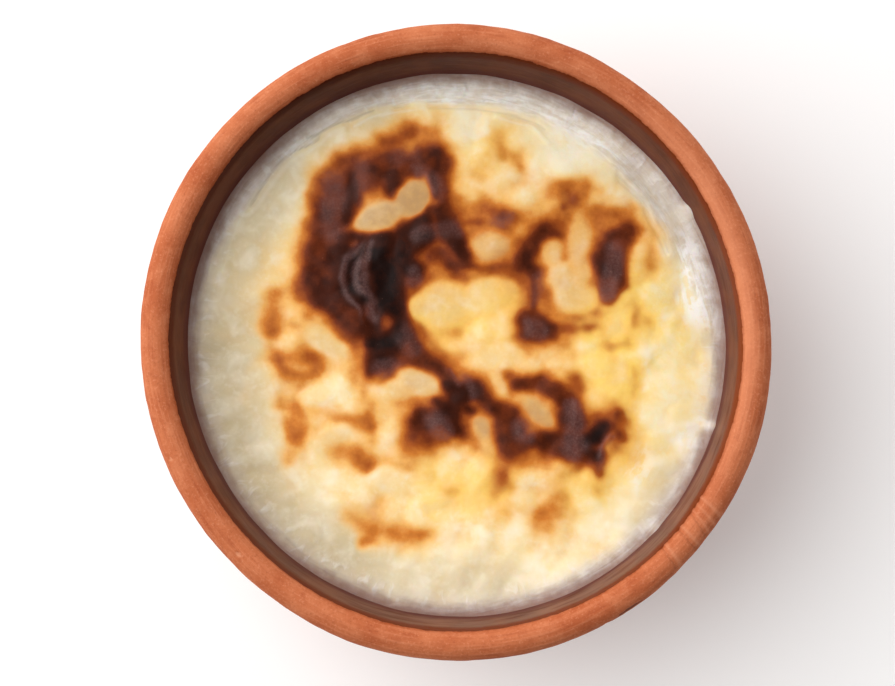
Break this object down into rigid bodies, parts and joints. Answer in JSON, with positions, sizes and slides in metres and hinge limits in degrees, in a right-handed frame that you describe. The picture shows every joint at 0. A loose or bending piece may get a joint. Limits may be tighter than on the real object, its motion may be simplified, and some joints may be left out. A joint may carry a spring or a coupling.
{
  "type": "baked rice pudding",
  "caption": "Portion of baked rice pudding with a scorched skin, set in the round terracotta dish it was baked in.",
  "frame": {"origin": "middle of the dish's underside, where it rests", "axes": "+Z is the dish's axis, up out of its mouth; -Y is the side nearest to the viewer, +X is to the viewer's right"},
  "size_m": [0.12, 0.12, 0.048],
  "materials": {
    "terracotta": "unglazed matte clay outside and on the lip, thin brown glaze inside",
    "baked_milk": "moist cream with a golden to near-black scorched skin"
  },
  "bodies": {
    "root": {"dish": "terracotta", "pudding": "baked_milk"}
  },
  "joints": []
}
